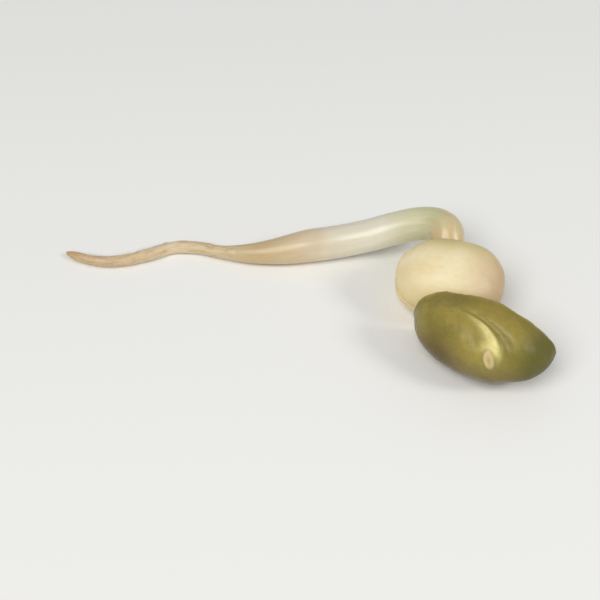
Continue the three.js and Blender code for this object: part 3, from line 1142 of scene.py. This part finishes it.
# %% [markdown]
# A finish is a board that knows the plant's grain: clouds of noise that follow it, colours laid
# over each other, and small bumps. A bump only bends the light, so it is kept for what is too
# fine to be a mesh; its height is in millimetres too. The mix node keeps a socket for each kind
# of data, so the ones for colour are given by number.

# %% A finish: clouds, glazes and bumps
MIX_FIRST, MIX_SECOND, MIX_RESULT = 6, 7, 2


class Finish(Board):
    def __init__(self, name):
        super().__init__(name)
        self.grain = self.value("grain", "Vector")

    def cloud(self, scale, detail=4.0, roughness=0.55, shift=(0, 0, 0)):
        place = self.vectors("ADD", self.vectors("MULTIPLY", self.grain, scale), shift)
        node = self.add("ShaderNodeTexNoise")
        self.feed(node.inputs["Vector"], place)
        node.inputs["Scale"].default_value = 1.0
        node.inputs["Detail"].default_value = detail
        node.inputs["Roughness"].default_value = roughness
        return node.outputs["Fac"]

    def mix(self, share, first, second):
        node = self.add("ShaderNodeMix", data_type="RGBA")
        self.feed(node.inputs["Factor"], share)
        for socket, colour in ((MIX_FIRST, first), (MIX_SECOND, second)):
            self.feed(node.inputs[socket], paint(colour) if isinstance(colour, str) else colour)
        return node.outputs[MIX_RESULT]

    def glaze(self, colour, layers):
        for where, strength, chart in layers:
            where = self.value(where) if isinstance(where, str) else where
            colour = self.mix(self.maths("MULTIPLY", where, strength), colour, chart)
        return colour

    def ramp(self, source, stops):
        node = self.add("ShaderNodeValToRGB")
        self.feed(node.inputs["Fac"], source)
        stretch = node.color_ramp.elements
        while len(stretch) < len(stops):
            stretch.new(0.5)
        for element, (place, chart) in zip(stretch, stops):
            element.position = place
            element.color = paint(chart)
        return node.outputs["Color"]

    def show(self, colour, roughness):
        self.feed(self.shader.inputs["Base Color"], colour)
        self.feed(self.shader.inputs["Roughness"], roughness)

    def bump(self, heights):
        normal = None
        for source, distance in heights:
            node = self.add("ShaderNodeBump")
            node.inputs["Strength"].default_value = 1.0
            node.inputs["Distance"].default_value = distance * MM
            self.feed(node.inputs["Height"], source)
            if normal:
                self.feed(node.inputs["Normal"], normal)
            normal = node.outputs["Normal"]
        self.feed(self.shader.inputs["Normal"], normal)


# %% [markdown]
# ### Seed leaf flesh
#
# The flesh is cream, a little yellower along the seam and where the stem joins, and pinkish and
# duller at the far end. Painted shade darkens the seam, the far end and the part beside the coat,
# and a painted shadow of the hook lies on the back of the dome. It is dense starch, so light
# enters and comes out soft and warm nearby. A thin film of water gives it a broad satin gloss.
# Each layer below names where it goes, how strong it is and its colour, as a painter lays thin
# glazes over each other.

# %% Dress the seed leaves
def seed_leaf_finish():
    finish = Finish("seed_leaf_flesh")
    slow = finish.spread(finish.cloud((0.55, 0.7, 0.7), detail=3), low=0.35, high=0.65)
    fine = finish.spread(finish.cloud((3.0, 5.0, 5.0), detail=5))
    colour = finish.glaze(finish.mix(slow, "#fdefca", "#f6e5b6"), (
        (fine, 0.18, "#e2c98c"),
        # Yellower tone and painted shade along the seam.
        ("lip_tint_and_shade", 0.55, "#e3ca88"),
        # Pinkish tone and painted shade at the far end.
        ("far_end_tint_and_shade", 0.85, "#c4a47c"),
        # Yellower where the stem joins, plus a painted shadow of the hook.
        ("by_stem_and_hook_shadow", 0.85, "#cfbf7e"),
        ("inner_face", 0.6, "#dcc078"),
        # Painted shade beside the coat's rim.
        ("painted_shade_by_coat", 0.35, "#d8bf7c"),
    ))
    film = finish.cloud((1.3, 1.8, 1.8), detail=4, shift=(5, 2, 0))
    finish.show(colour, finish.spread(film, to_low=0.36, to_high=0.52))
    creases = finish.cloud((1.2, 6.0, 6.0), detail=5)
    pores = finish.cloud((9.0, 9.0, 9.0), detail=3)
    finish.bump([(creases, 0.02), (pores, 0.008)])
    finish.set(Subsurface_Weight=0.35, Subsurface_Radius=(1.0, 0.62, 0.3),
               Subsurface_Scale=0.9 * MM, Coat_Weight=0.18, Coat_Roughness=0.3)
    return finish


seed_leaf_flesh = seed_leaf_finish()
seed_leaf_flesh.dress(upper_leaf)
seed_leaf_flesh.dress(lower_leaf)

# %% [markdown]
# ### Seed coat skin
#
# The skin is olive with a satin gloss. It is stretched pale and thin along the crease, with a
# painted highlight on it, and greener towards its outer end. Painted shade makes it dark brown low
# at the front, and darker in the crease, towards its bottom and along the top of the mouth. The
# torn rim is a little paler and the inside is the colour of straw. The zones come from the points,
# so the colour stays on them; the mottle and the flecks come from noise, because they follow no
# form.

# %% The coat's colour, glaze by glaze
def seed_coat_colour(finish, along, up):
    slow = finish.spread(finish.cloud((0.45, 0.6, 0.6), detail=4), low=0.36, high=0.64)
    mottle = finish.cloud((2.2, 3.4, 3.4), detail=6, roughness=0.6, shift=(3, 1, 0))
    fleck = finish.cloud((7.0, 11.0, 11.0), detail=3, roughness=0.5, shift=(0, 7, 0))
    colour = finish.glaze(finish.mix(slow, "#ad9a4a", "#998c42"), (
        # Painted shade, dark brown, low at the front left.
        ("painted_low_shade", 0.88, "#4c3a1a"),
        # Painted shade along the top of the mouth.
        ("painted_shoulder_shade", 0.5, "#6f612f"),
        # Painted shade: darker brown towards the bottom of the coat.
        (finish.spread(up, low=1.3, high=-0.9), 0.8, "#5f4c1a"),
        # Pale stretched skin along the crease, with a painted highlight on it.
        ("stretched_pale_and_highlight", 0.98, "#f6e79a"),
        (finish.spread(along, low=1.5, high=3.5), 0.85, "#56551a"),
        # Painted shade in the crease.
        ("painted_crease_shade", 0.45, "#7b7032"),
        (finish.spread(mottle, low=0.42, high=0.7), 0.22, "#6d6229"),
        (finish.spread(fleck, low=0.62, high=0.74), 0.35, "#b7a860"),
        ("hilum_edge", 0.35, "#857238"),
        ("hilum", 0.8, "#e2cb98"),
        ("rim", 0.45, "#b3a266"),
    ))
    return finish.mix(finish.value("inside"), colour, "#b9a972")


# %% Dress the seed coat
def seed_coat_finish():
    finish = Finish("seed_coat_skin")
    split = finish.add("ShaderNodeSeparateXYZ")
    finish.feed(split.inputs[0], finish.grain)
    along, _, up = split.outputs
    satin = finish.cloud((1.5, 2.0, 2.0), detail=4, shift=(8, 0, 2))
    gloss = finish.spread(satin, to_low=0.27, to_high=0.36)
    dull = finish.maths("MULTIPLY", finish.spread(along, low=1.8, high=3.4), 0.2)
    finish.show(seed_coat_colour(finish, along, up), finish.maths("ADD", gloss, dull))
    leather = finish.cloud((2.4, 4.0, 4.0), detail=5, roughness=0.6)
    pores = finish.cloud((14.0, 14.0, 14.0), detail=3)
    finish.bump([(leather, 0.02), (pores, 0.008)])
    finish.set(Subsurface_Weight=0.08, Subsurface_Radius=(0.6, 0.5, 0.2),
               Subsurface_Scale=0.4 * MM, Coat_Weight=0.08, Coat_Roughness=0.26,
               Specular_IOR_Level=0.3)
    return finish


seed_coat_finish().dress(seed_coat)

# %% [markdown]
# ### Stem and root skin
#
# The stem is white and watery, yellow-green at the hook where light has reached it, and
# peach-coloured at the joint. It turns tan where it narrows into the root, which is fibrous and
# duller. One ramp along the length carries these colours, and a little noise in the place that
# it reads keeps their borders from being straight.

# %% Dress the stem
STEM_STOPS = (
    (0.0, "#d3ab7e"), (0.045, "#d8bf92"), (0.085, "#cfca9c"), (0.15, "#dad7b2"),
    (0.24, "#e6e2cf"), (0.31, "#e5dfca"), (0.365, "#e0d4ba"), (0.42, "#d8c4a2"),
    (0.47, "#cfb98e"), (0.525, "#cbb387"), (0.575, "#d4c09a"), (0.65, "#d3bd95"),
    (0.71, "#e2cead"), (0.80, "#d8bf98"), (0.92, "#ccb088"), (0.985, "#b7935f"),
)
STOPS_LENGTH = 30.0
BORDER_WANDER = 3.0


def stem_finish():
    finish = Finish("stem_skin")
    along = finish.value("along")
    wander = finish.maths("SUBTRACT", finish.cloud((0.6, 0.6, 0.5), detail=4), 0.5)
    place = finish.maths("ADD", along, finish.maths("MULTIPLY", wander, BORDER_WANDER))
    streak = finish.cloud((5.0, 5.0, 0.35), detail=4)
    pale = finish.cloud((3.0, 3.0, 0.25), detail=3, shift=(4, 4, 4))
    blotch = finish.cloud((2.5, 2.5, 1.4), detail=5, shift=(1, 2, 3))
    rootwards = finish.spread(along, low=13.0, high=20.0)
    on_root = finish.maths("MULTIPLY", finish.spread(blotch, low=0.48, high=0.7), rootwards)
    colour = finish.ramp(finish.maths("DIVIDE", place, STOPS_LENGTH), STEM_STOPS)
    colour = finish.glaze(colour, (
        (finish.spread(streak, low=0.4, high=0.7), 0.12, "#c9b48c"),
        (finish.spread(pale, low=0.5, high=0.72), 0.15, "#f3f0e2"),
        (on_root, 0.5, "#a9845a"),
    ))
    finish.show(colour, finish.spread(along, low=10.0, high=20.0, to_low=0.3, to_high=0.5))
    strands = finish.cloud((7.0, 7.0, 0.5), detail=4)
    pores = finish.cloud((9.0, 9.0, 6.0), detail=3)
    finish.bump([(strands, 0.02), (pores, 0.008)])
    finish.set(Subsurface_Weight=0.45, Subsurface_Radius=(1.0, 0.8, 0.55),
               Subsurface_Scale=1.0 * MM, Coat_Weight=0.3, Coat_Roughness=0.18)
    return finish


stem_finish().dress(stem)

# %% [markdown]
# ### Root hairs
#
# A root hair is nearly clear, but many together look like pale fuzz. Glass would be truer to
# one hair, yet slow and grey for a thousand, so they are off-white and let a little light in.

# %% Dress the root hairs
def root_hair_finish():
    finish = Finish("root_hair_skin")
    tone = finish.spread(finish.cloud((3.0, 3.0, 3.0), detail=2), low=0.35, high=0.65)
    dull = finish.cloud((6.0, 6.0, 6.0), detail=2)
    finish.show(finish.mix(tone, "#f7f2e4", "#eadcc0"),
                finish.spread(dull, to_low=0.4, to_high=0.6))
    finish.set(Subsurface_Weight=0.3, Subsurface_Radius=(1.0, 0.8, 0.55), Subsurface_Scale=0.1 * MM)
    return finish


root_hair_finish().dress(root_hairs)

# %% [markdown]
# ### First leaf tissue
#
# The folded leaves have seen little light, so they are pale yellow-green, and paler along the
# veins. They are thin and soft, and light goes a little way in, which keeps them from looking
# painted. The values that pressed the veins into the mesh also colour them, so the two can't
# drift apart.

# %% Dress the first leaves
def first_leaf_finish():
    finish = Finish("first_leaf_tissue")
    slow = finish.spread(finish.cloud((1.5, 1.5, 1.5), detail=4), low=0.35, high=0.65)
    colour = finish.glaze(finish.mix(slow, "#dedb96", "#cfcf7e"), (("vein", 0.7, "#ecebb4"),))
    satin = finish.cloud((4.0, 4.0, 4.0), detail=3)
    finish.show(colour, finish.spread(satin, to_low=0.42, to_high=0.56))
    finish.bump([(finish.cloud((8.0, 8.0, 8.0), detail=4), 0.01)])
    finish.set(Subsurface_Weight=0.3, Subsurface_Radius=(0.6, 0.6, 0.2), Subsurface_Scale=0.5 * MM)
    return finish


first_leaf_finish().dress(first_leaves)

# %% [markdown]
# ## Floor, light and camera
#
# A plain pale floor and soft lamps show the form without telling a story. The large lamp stands
# above the front left and models the domes. A small, weak one at the right catches the edge of
# the coat's fold, which a large lamp alone would leave flat. The camera looks down at about
# fifty degrees, as one looks into a tub on a counter. Lamps and camera are placed in metres.

# %% A pale floor
FLOOR_REACH = 0.6
FLOOR_ROUGHNESS = 0.7


def make_floor():
    mesh = bpy.data.meshes.new("floor")
    corners = [(-1, -1), (1, -1), (1, 1), (-1, 1)]
    points = [(x * FLOOR_REACH, y * FLOOR_REACH, 0.0) for x, y in corners]
    mesh.from_pydata(points, [], [(0, 1, 2, 3)])
    floor = into_scene("floor", mesh)
    paper = Board("floor_paper")
    paper.set(Base_Color=paint("#f7f7f4"), Roughness=FLOOR_ROUGHNESS)
    paper.dress(floor)


make_floor()

# %% Soft lamps and a pale surround
SPROUT_MIDDLE = Vector((0.0, 0.0, 0.002))
SURROUND_TINT = (0.94, 0.96, 1.0, 1.0)
SURROUND_STRENGTH = 0.32


def add_lamp(name, place, size, watts, tint):
    lamp = bpy.data.lights.new(name, "AREA")
    lamp.shape = "DISK"
    lamp.size = size
    lamp.energy = watts
    lamp.color = tint
    stand = into_scene(name, lamp)
    stand.location = place
    stand.rotation_euler = (Vector(place) - SPROUT_MIDDLE).to_track_quat("Z", "Y").to_euler()
    print(name, "stands at", in_mm(stand.location), "mm")


add_lamp("key_lamp", place=(-0.09, -0.13, 0.23), size=0.20, watts=0.45, tint=(1.0, 0.985, 0.96))
add_lamp("side_lamp", place=(0.18, -0.06, 0.145), size=0.07, watts=0.15, tint=(1.0, 0.99, 0.97))

surround = bpy.data.worlds.new("surround")
bpy.context.scene.world = surround
bpy.context.scene.view_settings.view_transform = "Standard"
surround.use_nodes = True
background = surround.node_tree.nodes["Background"]
background.inputs["Color"].default_value = SURROUND_TINT
background.inputs["Strength"].default_value = SURROUND_STRENGTH

# %% The camera
CAMERA_ELEVATION = math.radians(48)
CAMERA_DISTANCE = 0.079
CAMERA_TARGET = Vector((0.0, -0.0003, 0.0018))
LENS_LENGTH = 75
SENSOR_WIDTH = 36
NEAREST_SEEN = 0.001

lens = bpy.data.cameras.new("camera")
lens.lens = LENS_LENGTH
lens.sensor_width = SENSOR_WIDTH
lens.clip_start = NEAREST_SEEN
camera = into_scene("camera", lens)
towards = Vector((0, -math.cos(CAMERA_ELEVATION), math.sin(CAMERA_ELEVATION)))
camera.location = CAMERA_TARGET + towards * CAMERA_DISTANCE
camera.rotation_euler = towards.to_track_quat("Z", "Y").to_euler()
bpy.context.scene.camera = camera
print("camera at", in_mm(camera.location), "mm")
